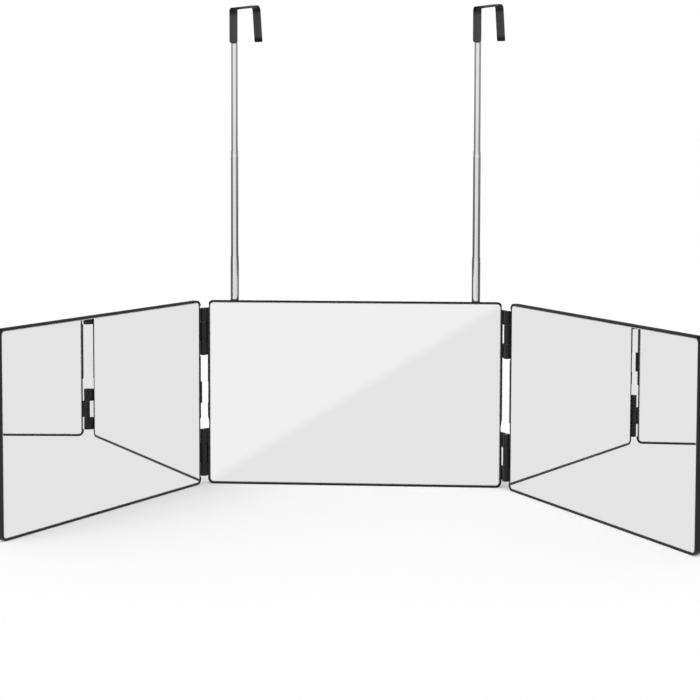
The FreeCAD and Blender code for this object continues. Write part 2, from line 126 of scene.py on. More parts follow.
class MirrorFinish(bpy.types.PropertyGroup):
    """Colours of the finishes."""

    case_black: colour("Case black", "Moulded plastic of trays and wings", (0.005, 0.005, 0.0055))
    case_worn: colour("Case edge", "Plastic that handling has polished at its edges", (0.02, 0.02, 0.021))
    inner_black: colour("Inner black", "Plain plastic behind the glass", (0.02, 0.02, 0.021))
    silvering: colour("Silvering", "Reflection of the mirror glass", (0.93, 0.93, 0.93))
    # painted reflection: plain glow that a glass shows in place of its reflection where another glass shows
    # it
    glass_glow_in_glass: colour("Glass in glass", "Plain tone of a glass that another one shows", (0.835,) * 3)
    glass_edge: colour("Glass edge", "Polished edge of the mirror glass", (0.78, 0.84, 0.82))
    chrome: colour("Chrome", "Plating of the tubes", (0.79, 0.79, 0.8))
    steel: colour("Steel", "Drawn wire of the hinge pins", (0.62, 0.62, 0.63))
    screw_black: colour("Screw black", "Blackened steel of the screws", (0.035, 0.034, 0.033))
    hook_coat: colour("Hook coat", "Coating on the hooks' flats, rubbed dull", (0.057, 0.057, 0.058))
    # painted shade: near-black tone laid on a hook's bends and tip
    hook_bend_shade: colour("Hook pool", "Thicker coating in bends and at the tip", (0.003, 0.003, 0.0032))
    hook_scuff: colour("Hook scuff", "Scuffed edges of the coating", (0.085, 0.085, 0.085))
    plug_white: colour("Plug white", "Natural plastic of the rod plugs", (0.82, 0.81, 0.77))
    foam_white: colour("Foam white", "Foam tape behind the glass", (0.86, 0.86, 0.83))
    floor_pale: colour("Floor", "Pale studio floor", (0.82, 0.82, 0.82))


class MirrorStage(bpy.types.PropertyGroup):
    """Studio round the mirror: camera, floor and light."""

    camera_place: FloatVectorProperty(
        name="Camera",
        description="Place of the camera",
        default=(0.06002, -1.78861, 0.3735),
        size=3,
        unit="LENGTH",
    )
    camera_yaw: angle("Camera yaw", "Turn of the camera to the left", 0.07611)
    camera_pitch: angle("Camera pitch", "Downward tilt of the camera", 0.07093)
    camera_lens: FloatProperty(name="Lens", description="Focal length in millimetres", default=90.557)
    camera_shift: FloatVectorProperty(
        name="Camera shift", description="Shift of the camera's frame", default=(0.1, -0.15), size=2
    )
    floor_reach: length("Floor reach", "Half the side of the floor", 40.0)
    floor_lift: share("Floor lift", "Light added to the floor as the camera sees it", 0.17)
    floor_in_glass: share("Floor in mirrors", "Plain tone of the floor in metal and glass", 0.835)
    sky_light: share("Sky light", "Strength of the even light from all round", 0.72)
    sun_strength: FloatProperty(name="Sun", description="Strength of the soft light from above", default=1.1)
    sun_width: angle("Sun width", "Angle that the soft light spans", math.radians(50))
    sun_forward: angle("Sun forward", "Lean of the soft light to the front", math.radians(28))
    sun_left: angle("Sun left", "Lean of the soft light to the left", math.radians(18))
    sheen_tone: share("Sheen", "Tone of the paler part of the floor that the centre glass shows", 0.935)
    sheen_across: FloatVectorProperty(
        name="Sheen edge",
        description="Direction across the edge of the paler part",
        default=(-0.5274, -0.1138, 0.842),
        size=3,
    )
    sheen_soft: angle("Sheen softness", "Half the angle that the sheen's soft edge spans", 0.0036)
    ceiling_grey: share("Ceiling", "Grey of the ceiling that glossy surfaces show", 0.06)
    flag_grey: share("Flags", "Grey of the flags that darken the edges of chrome and case", 0.13)
    flag_cover: share("Flag cover above", "Cover of the flags at the height of the top rods", 0.7)
    flag_place: length("Flag place", "Distance of each side flag from the middle", 0.8)
    flag_front: length("Flag front", "Distance of the side flags' front ends before the middle", 0.8)
    flag_back: length("Flag back", "Distance of the back flag behind the middle", 1.6)
    flag_top: length("Flag top", "Height of the flags' upper edges", 1.2)
    flag_foot: length("Flag foot", "Height of the flags' lower edges at the back", 0.001)
    flag_raised: length("Flag raised", "Height of the side flags' lower edges at the front", 0.14)
    flag_soft: length("Flag softness", "Width of the flags' soft edges", 0.25)


class MirrorSettings(bpy.types.PropertyGroup):
    """All settings of the folding mirror."""

    sizes: PointerProperty(type=MirrorSizes, name="Sizes", description="Sizes of the shaped pieces")
    finish: PointerProperty(type=MirrorFinish, name="Finish", description="Colours of the finishes")
    stage: PointerProperty(type=MirrorStage, name="Stage", description="Camera, floor and light")


# ---------------------------------------------------------------- shapes


def grid_faces(rows, columns):
    """Quads between neighbouring rows of a grid whose columns close on themselves."""
    row, column = np.meshgrid(np.arange(rows - 1), np.arange(columns), indexing="ij")
    following = (column + 1) % columns
    corners = [row * columns + column, row * columns + following]
    corners += [(row + 1) * columns + following, (row + 1) * columns + column]
    return np.stack(corners, axis=-1).reshape(-1, 4)


def closed_skin(rings):
    """Points and faces of a skin through closed rings, with a flat face at its first and last ring."""
    rows, columns = rings.shape[:2]
    faces = grid_faces(rows, columns).tolist()
    faces.append(list(range(columns))[::-1])
    faces.append(list(range((rows - 1) * columns, rows * columns)))
    return rings.reshape(-1, 3), faces


def add_piece(name, points, faces, body, smooth_angle=math.radians(35)):
    """Mesh object at the origin that rides on a body, with its faces turned outwards."""
    mesh = bpy.data.meshes.new(name)
    mesh.from_pydata(np.asarray(points).tolist(), [], faces)
    shell = bmesh.new()
    shell.from_mesh(mesh)
    bmesh.ops.recalc_face_normals(shell, faces=shell.faces)
    shell.to_mesh(mesh)
    shell.free()
    mesh.polygons.foreach_set("use_smooth", np.ones(len(mesh.polygons), dtype=bool))
    mesh.set_sharp_from_angle(angle=smooth_angle)
    mesh.update()
    piece = bpy.data.objects.new(name, mesh)
    bpy.context.scene.collection.objects.link(piece)
    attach(piece, body)
    return piece


def turned_about_z(points, pivot, turn):
    """Points turned about the upright line through pivot: a plane rotation of x and y."""
    spin = np.array([[math.cos(turn), -math.sin(turn)], [math.sin(turn), math.cos(turn)]])
    moved = np.array(points, dtype=float)
    moved[..., :2] = (moved[..., :2] - pivot) @ spin.T + pivot
    return moved


def corner_fans(steps):
    """Signs of a rectangle's corners, in turn, and the unit directions that sweep each quarter circle."""
    sweep = np.linspace(0, math.pi / 2, steps) + np.arange(4)[:, None] * math.pi / 2
    signs = np.array([(1, 1), (-1, 1), (-1, -1), (1, -1)], dtype=float)
    return signs[:, None, :], np.stack([np.cos(sweep), np.sin(sweep)], axis=-1)


def rounded_loop(half_width, half_height, radius, steps=12):
    """Rounded rectangle as points and outward normals: quarter circles about its four inset corners."""
    signs, normals = corner_fans(steps)
    points = signs * (half_width - radius, half_height - radius) + radius * normals
    return points.reshape(-1, 2), normals.reshape(-1, 2)


def panel_rings(outline, profile):
    """Profile of (inset, depth) carried round an outline in the x, z plane.

    A ring is outline - inset * normal, at y = depth."""
    points, normals = outline
    inset, depth = np.asarray(profile).T
    plan = points[None] - inset[:, None, None] * normals[None]
    y = np.broadcast_to(depth[:, None], plan.shape[:2])
    return np.stack([plan[..., 0], y, plan[..., 1]], axis=-1)


def panel_frames():
    """Place of each panel: centre of its front plane, hinge and turn from flat to rest, by name."""
    height = (GLASS_HIGH.z + GLASS_LOW.z) / 2
    front = GLASS_LOW.y
    frames = {"center": (np.array((0.0, front, height)), None, 0.0)}
    for name, side in SIDES.items():
        fold = JOINTS[f"{name}_wing_fold"]
        pivot = np.array(fold["pos_m"][:2])
        reach = 2 * abs(pivot[0])
        layer = pivot[1] - JOINTS["left_wing_fold"]["pos_m"][1]
        middle = np.array((side * reach, front + layer, height))
        turn = -fold["axis"][2] * math.radians(fold["range_deg"][1])
        frames[name] = (middle, pivot, turn)
    return frames


def set_in_panel(rings, place):
    """Rings made about a panel's centre, moved to the panel and turned with it to the rest pose."""
    middle, pivot, turn = place
    rings = rings + middle
    return rings if pivot is None else turned_about_z(rings, pivot, turn)


def bent_path(points, radii, steps=10):
    """Polyline with its inner corners replaced by arcs, as positions and unit normals to the left of the way.

    Each corner's arc has its centre on the bisector, and its points are centre - radius * turn * normal,
    with the normal swept evenly from one leg's to the next's."""
    points = np.asarray(points, dtype=float)
    legs = np.diff(points, axis=0)
    headings = np.arctan2(legs[:, 1], legs[:, 0])
    places, sweeps = [points[:1]], [headings[:1]]
    for corner, before, after, radius in zip(points[1:-1], headings, headings[1:], radii):
        turn = after - before
        side = math.copysign(1, turn)
        run = radius * abs(math.tan(turn / 2))
        sweep = np.linspace(before, after, steps)
        start = corner - run * np.array((math.cos(before), math.sin(before)))
        centre = start + side * radius * np.array((-math.sin(before), math.cos(before)))
        normals = np.stack([-np.sin(sweep), np.cos(sweep)], axis=-1)
        places.append(centre - side * radius * normals)
        sweeps.append(sweep)
    places.append(points[-1:])
    sweeps.append(headings[-1:])
    heading = np.concatenate(sweeps)
    return np.concatenate(places), np.stack([-np.sin(heading), np.cos(heading)], axis=-1)


def end_round(distance, radius):
    """Loss of half width near a rounded end.

    It is radius - sqrt(radius^2 - (radius - distance)^2), and nothing further in than the radius."""
    inside = np.clip(radius - distance, 0, radius)
    return radius - np.sqrt(radius**2 - inside**2)


def densified(path, normal, first_round, last_round, end_steps=9, run_steps=40):
    """Path with extra points, closest inside its rounded ends.

    The points lie evenly along the way and at 1 - cos of even angles inside each end's radius. Each point's
    normal and its distances from the start and from the end come with it."""
    gaps = np.linalg.norm(np.diff(path, axis=0), axis=1)
    distance = np.concatenate([[0.0], np.cumsum(gaps)])
    total = distance[-1]
    ease = 1 - np.cos(np.linspace(0, math.pi / 2, end_steps))
    even = np.linspace(0, total, run_steps)
    wanted = np.concatenate([distance, ease * first_round, total - ease * last_round, even])
    wanted = np.unique(np.round(wanted, 7))
    dense = np.stack([np.interp(wanted, distance, path[:, axis]) for axis in (0, 1)], axis=-1)
    heading = np.unwrap(np.arctan2(normal[:, 1], normal[:, 0]))
    heading = np.interp(wanted, distance, heading)
    return dense, np.stack([np.cos(heading), np.sin(heading)], axis=-1), wanted, total - wanted


def soft_step(value, soft):
    """Smooth step from 0 to 1 while value runs from -soft to soft: t^2 (3 - 2 t)."""
    t = np.clip((value + soft) / (2 * soft), 0, 1)
    return t * t * (3 - 2 * t)


def solid_places(name, reach):
    """Middles, as x and z, of the solids of a CAD node, which lie further apart than reach."""
    mesh = frame["nodes"][name].data
    points = np.empty(len(mesh.vertices) * 3)
    mesh.vertices.foreach_get("co", points)
    plan = points.reshape(-1, 3)[:, [0, 2]]
    places = []
    while len(plan):
        near = np.linalg.norm(plan - plan[0], axis=1) < reach
        places.append((plan[near].min(0) + plan[near].max(0)) / 2)
        plan = plan[~near]
    return places


# ---------------------------------------------------------------- node helpers


def add_node(tree, kind, values=None, **settings):
    """New node with its settings, and plain values on its input sockets."""
    node = tree.nodes.new(kind)
    for key, value in settings.items():
        setattr(node, key, value)
    for socket, value in (values or {}).items():
        node.inputs[socket].default_value = value
    return node


def link(tree, source, output, target, socket):
    """Wire from an output of one node to an input of another."""
    tree.links.new(source.outputs[output], target.inputs[socket])


def new_group(name, inputs, outputs):
    """Empty shader group that reads a Vector, with named float inputs and named outputs."""
    group = bpy.data.node_groups.new(name, "ShaderNodeTree")
    group.interface.new_socket(name="Vector", in_out="INPUT", socket_type="NodeSocketVector")
    for label, default in inputs.items():
        socket = group.interface.new_socket(name=label, in_out="INPUT", socket_type="NodeSocketFloat")
        socket.default_value = default
    for label, kind in outputs.items():
        group.interface.new_socket(name=label, in_out="OUTPUT", socket_type=kind)
    return group, group.nodes.new("NodeGroupInput"), group.nodes.new("NodeGroupOutput")


def mould_grain(name):
    """Spark-eroded mould grain: fine cells over a slower mottle, both from 0 to 1."""
    inputs = {"Cells": 2600.0, "Mottle Scale": 38.0}
    outputs = {"Grain": "NodeSocketFloat", "Mottle": "NodeSocketFloat"}
    group, given, result = new_group(name, inputs, outputs)
    cells = add_node(group, "ShaderNodeTexVoronoi", feature="SMOOTH_F1")
    mottle = add_node(group, "ShaderNodeTexNoise", {"Detail": 4.0, "Roughness": 0.6})
    for texture, scale in ((cells, "Cells"), (mottle, "Mottle Scale")):
        link(group, given, "Vector", texture, "Vector")
        link(group, given, scale, texture, "Scale")
    link(group, cells, "Distance", result, "Grain")
    link(group, mottle, "Fac", result, "Mottle")
    return group


def edge_wear(name):
    """Edge mask, and the rounded normal that it comes from.

    The mask is how far the rounded normal leaves the flat one, broken up by noise."""
    inputs = {"Radius": 0.0005, "Amount": 1.0}
    outputs = {"Mask": "NodeSocketFloat", "Normal": "NodeSocketVector"}
    group, given, result = new_group(name, inputs, outputs)
    soft = add_node(group, "ShaderNodeBevel", samples=6)
    flat = add_node(group, "ShaderNodeNewGeometry")
    along = add_node(group, "ShaderNodeVectorMath", operation="DOT_PRODUCT")
    edge = add_node(group, "ShaderNodeMapRange", {"From Min": 0.995, "From Max": 0.8})
    patches = add_node(group, "ShaderNodeTexNoise", {"Scale": 260.0, "Detail": 5.0, "Roughness": 0.65})
    broken = add_node(group, "ShaderNodeMapRange", {"From Min": 0.35, "From Max": 0.7})
    worn = add_node(group, "ShaderNodeMath", operation="MULTIPLY")
    scaled = add_node(group, "ShaderNodeMath", operation="MULTIPLY", use_clamp=True)
    link(group, given, "Radius", soft, "Radius")
    link(group, soft, "Normal", along, 0)
    link(group, flat, "Normal", along, 1)
    link(group, along, "Value", edge, "Value")
    link(group, given, "Vector", patches, "Vector")
    link(group, patches, "Fac", broken, "Value")
    link(group, edge, "Result", worn, 0)
    link(group, broken, "Result", worn, 1)
    link(group, worn, "Value", scaled, 0)
    link(group, given, "Amount", scaled, 1)
    link(group, scaled, "Value", result, "Mask")
    link(group, soft, "Normal", result, "Normal")
    return group


def wiping_marks(name):
    """Wiping marks: streaks of stretched noise that show only inside broad soft patches."""
    group, given, result = new_group(name, {"Patch Scale": 14.0}, {"Smudge": "NodeSocketFloat"})
    stretch = add_node(
        group, "ShaderNodeMapping", {"Rotation": (0.0, 0.5, 0.0), "Scale": (30.0, 30.0, 240.0)}
    )
    streaks = add_node(group, "ShaderNodeTexNoise", {"Scale": 1.0, "Detail": 4.0})
    patches = add_node(group, "ShaderNodeTexNoise", {"Detail": 2.0})
    wide = add_node(group, "ShaderNodeMapRange", {"From Min": 0.45, "From Max": 0.75})
    marks = add_node(group, "ShaderNodeMath", operation="MULTIPLY", use_clamp=True)
    link(group, given, "Vector", stretch, "Vector")
    link(group, stretch, "Vector", streaks, "Vector")
    link(group, given, "Vector", patches, "Vector")
    link(group, given, "Patch Scale", patches, "Scale")
    link(group, patches, "Fac", wide, "Value")
    link(group, streaks, "Fac", marks, 0)
    link(group, wide, "Result", marks, 1)
    link(group, marks, "Value", result, "Smudge")
    return group


def drawn_lines(name):
    """Lines that drawing leaves along a tube or wire: noise stretched far along Z, from 0 to 1."""
    group, given, result = new_group(name, {}, {"Lines": "NodeSocketFloat"})
    stretch = add_node(group, "ShaderNodeMapping", {"Scale": (2600.0, 2600.0, 9.0)})
    lines = add_node(group, "ShaderNodeTexNoise", {"Scale": 1.0, "Detail": 5.0, "Roughness": 0.7})
    link(group, given, "Vector", stretch, "Vector")
    link(group, stretch, "Vector", lines, "Vector")
    link(group, lines, "Fac", result, "Lines")
    return group


def new_material(name, values):
    """Material with a Principled shader, plain values on its sockets, and Object coordinates at hand."""
    material = bpy.data.materials.new(name)
    material.use_nodes = True
    tree = material.node_tree
    shader = tree.nodes["Principled BSDF"]
    for socket, value in values.items():
        shader.inputs[socket].default_value = value
    place = tree.nodes.new("ShaderNodeTexCoord")
    return material, tree, shader, place


def bare_material(name):
    """Material with an empty node tree."""
    material = bpy.data.materials.new(name)
    material.use_nodes = True
    material.node_tree.nodes.clear()
    return material, material.node_tree


def use_group(tree, maker, place, values=None):
    """A shared group in a material, fed with Object coordinates, and built when it is first asked for."""
    name = maker.__name__
    group = bpy.data.node_groups.get(name) or maker(name)
    node = add_node(tree, "ShaderNodeGroup", node_tree=group)
    for socket, value in (values or {}).items():
        node.inputs[socket].default_value = value
    link(tree, place, "Object", node, "Vector")
    return node


def mapped(tree, source, output, low, high):
    """A 0 to 1 value spread over another range."""
    node = add_node(tree, "ShaderNodeMapRange", {"To Min": low, "To Max": high})
    link(tree, source, output, node, "Value")
    return node


def set_gloss(tree, shader, source, output, low, high):
    """Roughness of a shader, run from low to high by a 0 to 1 value."""
    link(tree, mapped(tree, source, output, low, high), "Result", shader, "Roughness")


def set_bump(tree, shader, source, output, strength, depth):
    """Bump of a shader from a 0 to 1 height, with its full depth in metres."""
    bump = add_node(tree, "ShaderNodeBump", {"Strength": strength, "Distance": depth})
    link(tree, source, output, bump, "Height")
    link(tree, bump, "Normal", shader, "Normal")
    return bump


def mixed_tone(tree, mask, output, low, high):
    """Colour that runs from low to high with a mask; each of them is a plain colour or a colour output."""
    node = add_node(tree, "ShaderNodeMix", data_type="RGBA")
    link(tree, mask, output, node, 0)
    for label, tone in (("A", low), ("B", high)):
        socket = next(entry for entry in node.inputs if entry.name == label and entry.type == "RGBA")
        if isinstance(tone, bpy.types.NodeSocket):
            tree.links.new(tone, socket)
        else:
            socket.default_value = (*tone, 1.0)
    return next(entry for entry in node.outputs if entry.type == "RGBA")


def paint(names, material):
    """Put a material on CAD nodes."""
    for name in names:
        node = frame["nodes"][name]
        node.data.materials.clear()
        node.data.materials.append(material)


# ---------------------------------------------------------------- finishes


def moulded_plastic(name, base, worn, grain_strength, roughness, spread=0.06, grain_depth=0.00004):
    """Satin moulded plastic: mould grain in the bump, mottle in the gloss, polished edges paler."""
    material, tree, shader, place = new_material(name, {"Specular IOR Level": 0.32})
    grain = use_group(tree, mould_grain, place)
    wear = use_group(tree, edge_wear, place, {"Radius": 0.00045, "Amount": 0.8})
    tree.links.new(mixed_tone(tree, wear, "Mask", base, worn), shader.inputs["Base Color"])
    set_gloss(tree, shader, grain, "Mottle", roughness - spread, roughness + spread)
    bump = set_bump(tree, shader, grain, "Grain", grain_strength, grain_depth)
    link(tree, wear, "Normal", bump, "Normal")
    return material


def mirror_silver(name, tint, plain):
    """Silvered glass: a clear reflection, faintly clouded where it has been wiped.

    Where one glass shows in another it glows with a plain tone: a painted reflection in place of its own."""
    material, tree, shader, place = new_material(name, {"Base Color": (*tint, 1.0), "Metallic": 1.0})
    marks = use_group(tree, wiping_marks, place)
    set_gloss(tree, shader, marks, "Smudge", low=0.004, high=0.02)
    path = add_node(tree, "ShaderNodeLightPath")
    # painted reflection: glossy rays see this plain glow instead of the silvered glass
    flat = add_node(tree, "ShaderNodeEmission", {"Color": (*plain, 1.0)})
    mix = add_node(tree, "ShaderNodeMixShader")
    link(tree, path, "Is Glossy Ray", mix, 0)
    link(tree, shader, "BSDF", mix, 1)
    link(tree, flat, "Emission", mix, 2)
    link(tree, mix, "Shader", tree.nodes["Material Output"], "Surface")
    return material


def polished_edge(name, tint):
    """Ground and polished edge of the glass, slightly green and frosted."""
    material, tree, shader, place = new_material(name, {"Base Color": (*tint, 1.0)})
    grain = use_group(tree, mould_grain, place, {"Cells": 5200.0, "Mottle Scale": 90.0})
    set_gloss(tree, shader, grain, "Mottle", low=0.08, high=0.22)
    return material


def drawn_metal(name, tint, low, high, depth, line_strength=0.25):
    """Drawn metal with fine lines along Z in its gloss, from low to high roughness, and in its bump."""
    material, tree, shader, place = new_material(name, {"Base Color": (*tint, 1.0), "Metallic": 1.0})
    lines = use_group(tree, drawn_lines, place)
    set_gloss(tree, shader, lines, "Lines", low, high)
    set_bump(tree, shader, lines, "Lines", line_strength, depth)
    return material


def dipped_coat(name, rubbed, bend_shade_tone, scuff, ripple_strength=0.5, ripple_depth=0.00007):
    """Matt dipped coating: a finely rippled skin, painted near black as shade in the bends and at the tip,
    scuffed along its edges.

    The mesh's own attribute says where that painted shade lies, and a mottle makes the rubbed parts uneven."""
    material, tree, shader, place = new_material(name, {"Specular IOR Level": 0.3})
    grain = use_group(tree, mould_grain, place, {"Cells": 1500.0, "Mottle Scale": 160.0})
    wear = use_group(tree, edge_wear, place, {"Radius": 0.0004, "Amount": 0.6})
    # painted shade: the bends and the tip are darkened by the mesh's attribute
    pooled = add_node(tree, "ShaderNodeAttribute", attribute_name="pooled")
    uneven = mapped(tree, grain, "Mottle", low=-0.15, high=0.3)
    # the larger of the painted shade in the bends and tip and the real uneven rubbing
    cover = add_node(tree, "ShaderNodeMath", operation="MAXIMUM", use_clamp=True)
    link(tree, pooled, "Fac", cover, 0)
    link(tree, uneven, "Result", cover, 1)
    skin = mixed_tone(tree, cover, "Value", rubbed, bend_shade_tone)
    tree.links.new(mixed_tone(tree, wear, "Mask", skin, scuff), shader.inputs["Base Color"])
    set_gloss(tree, shader, grain, "Mottle", low=0.28, high=0.4)
    set_bump(tree, shader, grain, "Grain", ripple_strength, ripple_depth)
    return material


def celled_plastic(name, tint, low, high, cell_strength=0.6, cell_depth=0.0001):
    """Foam or natural plastic with fine cells, and roughness from low to high."""
    material, tree, shader, place = new_material(name, {"Base Color": (*tint, 1.0)})
    grain = use_group(tree, mould_grain, place, {"Cells": 1800.0, "Mottle Scale": 120.0})
    set_gloss(tree, shader, grain, "Mottle", low, high)
    set_bump(tree, shader, grain, "Grain", cell_strength, cell_depth)
    return material


# ---------------------------------------------------------------- operators


class MirrorOperator:
    """Settings at hand for every operator."""

    bl_options = {"REGISTER", "UNDO"}

    @property
    def sizes(self):
        return bpy.context.scene.folding_mirror.sizes

    @property
    def finish(self):
        return bpy.context.scene.folding_mirror.finish

    @property
    def stage(self):
        return bpy.context.scene.folding_mirror.stage


class OBJECT_OT_mirror_case(MirrorOperator, bpy.types.Operator):
    """Satin black plastic on the centre tray and the wings, plain black behind the glass"""

    bl_idname = "object.mirror_case"
    bl_label = "Finish the case"

    def execute(self, context):
        black, worn, inner = self.finish.case_black, self.finish.case_worn, self.finish.inner_black
        satin = moulded_plastic("satin_black_plastic", black, worn, grain_strength=0.55, roughness=0.36)
        plain = moulded_plastic("plain_black_plastic", inner, worn, grain_strength=0.8, roughness=0.5)
        paint(["center_tray", "left_wing_shell", "right_wing_shell"], satin)
        paint(["carrier_plate"], plain)
        return {"FINISHED"}


class OBJECT_OT_mirror_glass(MirrorOperator, bpy.types.Operator):
    """Bevelled mirror glass in the three panels, on foam tape"""

    bl_idname = "object.mirror_glass"
    bl_label = "Fit the mirror glass"

    def execute(self, context):
        silver = mirror_silver("silvered_glass", self.finish.silvering, self.finish.glass_glow_in_glass)
        edge = polished_edge("polished_glass_edge", self.finish.glass_edge)
        foam = celled_plastic("white_foam", self.finish.foam_white, low=0.75, high=0.95)
        paint(["center_tape", "left_wing_tape", "right_wing_tape"], foam)
        rings = self.pane_rings()
        for name, place in panel_frames().items():
            node = "center_glass" if name == "center" else f"{name}_wing_glass"
            body = "center" if name == "center" else f"{name}_wing"
            points, faces = closed_skin(set_in_panel(rings, place))
            pane = add_piece(
                f"{name}_pane", points, faces, body, smooth_angle=math.radians(12)
            )
            pane.data.materials.append(silver)
            pane.data.materials.append(edge)
            # the flat front and back, which closed_skin puts last, are silvered
            index = np.ones(len(faces), dtype=np.int32)
            index[-2:] = 0
            pane.data.polygons.foreach_set("material_index", index)
            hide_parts(node)
        return {"FINISHED"}

    def pane_rings(self):
        """Glass with a bevel at its front edge and a smaller one at its back, as rings about its centre."""
        sizes = self.sizes
        thickness = GLASS_HIGH.y - GLASS_LOW.y
        bevel, fall = sizes.glass_bevel, sizes.glass_bevel_depth
        outline = rounded_loop(
            (GLASS_HIGH.x - GLASS_LOW.x) / 2,
            (GLASS_HIGH.z - GLASS_LOW.z) / 2,
            sizes.corner_radius - sizes.rim_width - sizes.glass_clearance,
        )
        front = [(bevel, 0.0), (bevel / 2, fall / 3), (0.0, fall)]
        back = [(0.0, thickness - fall / 2), (fall / 2, thickness)]
        return panel_rings(outline, front + back)


class OBJECT_OT_mirror_poles(MirrorOperator, bpy.types.Operator):
    """Chrome on the telescoping tubes, steel on the hinge pins, natural plastic on the plugs"""

    bl_idname = "object.mirror_poles"
    bl_label = "Plate the poles"

    def execute(self, context):
        finish = self.finish
        chrome = drawn_metal("chrome_plating", finish.chrome, low=0.05, high=0.12, depth=0.000004)
        steel = drawn_metal("drawn_steel", finish.steel, low=0.2, high=0.34, depth=0.00001)
        plug = celled_plastic("natural_plastic", finish.plug_white, low=0.35, high=0.5)
        for side in SIDES:
            tubes = ("outer_tube", "base_tube", "middle_tube", "top_rod")
            paint([f"{side}_{tube}" for tube in tubes], chrome)
            paint([f"{side}_hinge_pins"], steel)
            paint([f"{side}_rod_plug"], plug)
        return {"FINISHED"}


class OBJECT_OT_mirror_hooks(MirrorOperator, bpy.types.Operator):
    """Coated strap hooks with soft edges on the rods"""

    bl_idname = "object.mirror_hooks"
    bl_label = "Coat the hooks"

    def execute(self, context):
        finish = self.finish
        coat = dipped_coat("dipped_black_coat", finish.hook_coat, finish.hook_bend_shade, finish.hook_scuff)
        for name in SIDES:
            node, body = f"{name}_hook_strap", f"{name}_hook"
            swivel = JOINTS[f"{name}_hook_swivel"]
            # turn at rest, from the limit at which the strap points along X
            heading = math.radians(-swivel["range_deg"][0] if name == "left" else swivel["range_deg"][1])
            rings, pooled = self.strap_rings(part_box(node)[0].z)
            points, faces = closed_skin(rings)
            points = turned_about_z(points, np.zeros(2), heading) + (*swivel["pos_m"][:2], 0.0)
            hook = add_piece(
                f"{name}_hook_coat", points, faces, body, smooth_angle=math.radians(60)
            )
            # painted shade of the bends and the tip, stored per point
            depth = hook.data.attributes.new("pooled", "FLOAT", "POINT")
            depth.data.foreach_set("value", np.repeat(pooled, rings.shape[1]))
            hook.data.materials.append(coat)
            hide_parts(node)
        return {"FINISHED"}

    def strap_rings(self, foot, corner_steps=6):
        """Rounded rectangle carried along the bent path of the strap's inner line, and the painted shade of
        its bends and tip.

        A ring's point is path + normal * (thickness / 2 + across) + (0, along, 0), where along and across
        come from a rounded rectangle whose half width shrinks by end_round towards both ends. The painted
        shade is a soft step of the distance to the nearest bend or to the tip."""
        sizes = self.sizes
        near = -sizes.hook_tongue / 2
        far = near + sizes.hook_gap
        crown = foot + sizes.hook_leg - sizes.strap_thickness
        top = foot + sizes.hook_leg + sizes.hook_rise
        corners = [
            (near, foot),
            (near, crown),
            (far, crown + sizes.hook_rise),
            (far + sizes.hook_drop * math.tan(sizes.hook_splay), top - sizes.hook_drop),
        ]
        path, normal = bent_path(corners, [sizes.near_bend, sizes.far_bend])
        path, normal, start, end = densified(path, normal, sizes.leg_round, sizes.tip_round)
        free_leg = math.dist(*corners[-2:])
        # painted shade: darker within reach of each bend and of the tip
        nearest = np.min([abs(start - (crown - foot)), abs(end - free_leg), end], axis=0)
        pooled = soft_step(sizes.bend_shade_reach - nearest, sizes.bend_shade_reach / 2)
        edge = sizes.strap_edge
        narrowing = end_round(start, sizes.leg_round) + end_round(end, sizes.tip_round)
        half_width = (sizes.strap_width / 2 - narrowing)[:, None, None]
        half_thick = (sizes.strap_thickness / 2 - end_round(np.minimum(start, end), edge))[:, None, None]
        radius = np.minimum(edge, half_thick)
        signs, fans = corner_fans(corner_steps)
        along = signs[..., 0] * (half_width - radius) + fans[..., 0] * radius
        across = signs[..., 1] * (half_thick - radius) + fans[..., 1] * radius
        along, across = along.reshape(len(path), -1), across.reshape(len(path), -1)
        lift = sizes.strap_thickness / 2 + across
        x = path[:, None, 0] + normal[:, None, 0] * lift
        z = path[:, None, 1] + normal[:, None, 1] * lift
        return np.stack([x, along, z], axis=-1), pooled


class OBJECT_OT_mirror_screws(MirrorOperator, bpy.types.Operator):
    """Black case screws with a cross recess"""

    bl_idname = "object.mirror_screws"
    bl_label = "Drive the screws"

    def execute(self, context):
        tint = self.finish.screw_black
        black = drawn_metal("blackened_steel", tint, low=0.3, high=0.45, depth=0.000008)
        low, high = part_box("case_screws")
        points, faces = [], []
        for x, z in solid_places("case_screws", 2 * self.sizes.screw_head):
            rings = self.screw_rings(high.y, high.y - low.y) + (x, 0.0, z)
            skin, quads = closed_skin(rings)
            faces += [[corner + len(points) for corner in quad] for quad in quads]
            points += skin.tolist()
        screws = add_piece("cross_screws", points, faces, "center")
        screws.data.materials.append(black)
        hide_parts("case_screws")
        return {"FINISHED"}

    def screw_rings(self, top, total, columns=96, face_rings=40, core=0.02, rim_fall=1.3):
        """Screw about the Y axis: rings of radius r at depth y, from the middle of its head to its tip.

        The head's face is y = top - dome * (r / head)^2 - recess * cross, where cross is 1 inside the arms
        of the recess: step(a - the lesser of |u|, |v|) * step(b - the greater), for arms of half width a and
        reach b. The first ring lies at the share core of the face's radius. A flank that starts rim_fall
        domes below the top, the head's underside, the shank and a point follow."""
        sizes = self.sizes
        head, shank, arm = sizes.screw_head, sizes.screw_shank, sizes.screw_arm
        around = np.linspace(0, 2 * math.pi, columns, endpoint=False)
        face = np.linspace(core, 1.0, face_rings) * (head - arm / 2)
        rim, under, tip = top - sizes.screw_dome * rim_fall, top - sizes.screw_height, top - total
        radius = np.concatenate([face, [head, head, shank, shank, shank / 4]])
        dome = top - sizes.screw_dome * (face / head) ** 2
        depth = np.concatenate([dome, [rim, under, under, tip + shank, tip]])
        u, v = radius[:, None] * np.cos(around), radius[:, None] * np.sin(around)
        lesser, greater = np.minimum(abs(u), abs(v)), np.maximum(abs(u), abs(v))
        cross = soft_step(arm - lesser, arm / 2) * soft_step(sizes.screw_reach - greater, arm)
        cross[face_rings:] = 0.0
        return np.stack([u, depth[:, None] - sizes.screw_recess * cross, v], axis=-1)


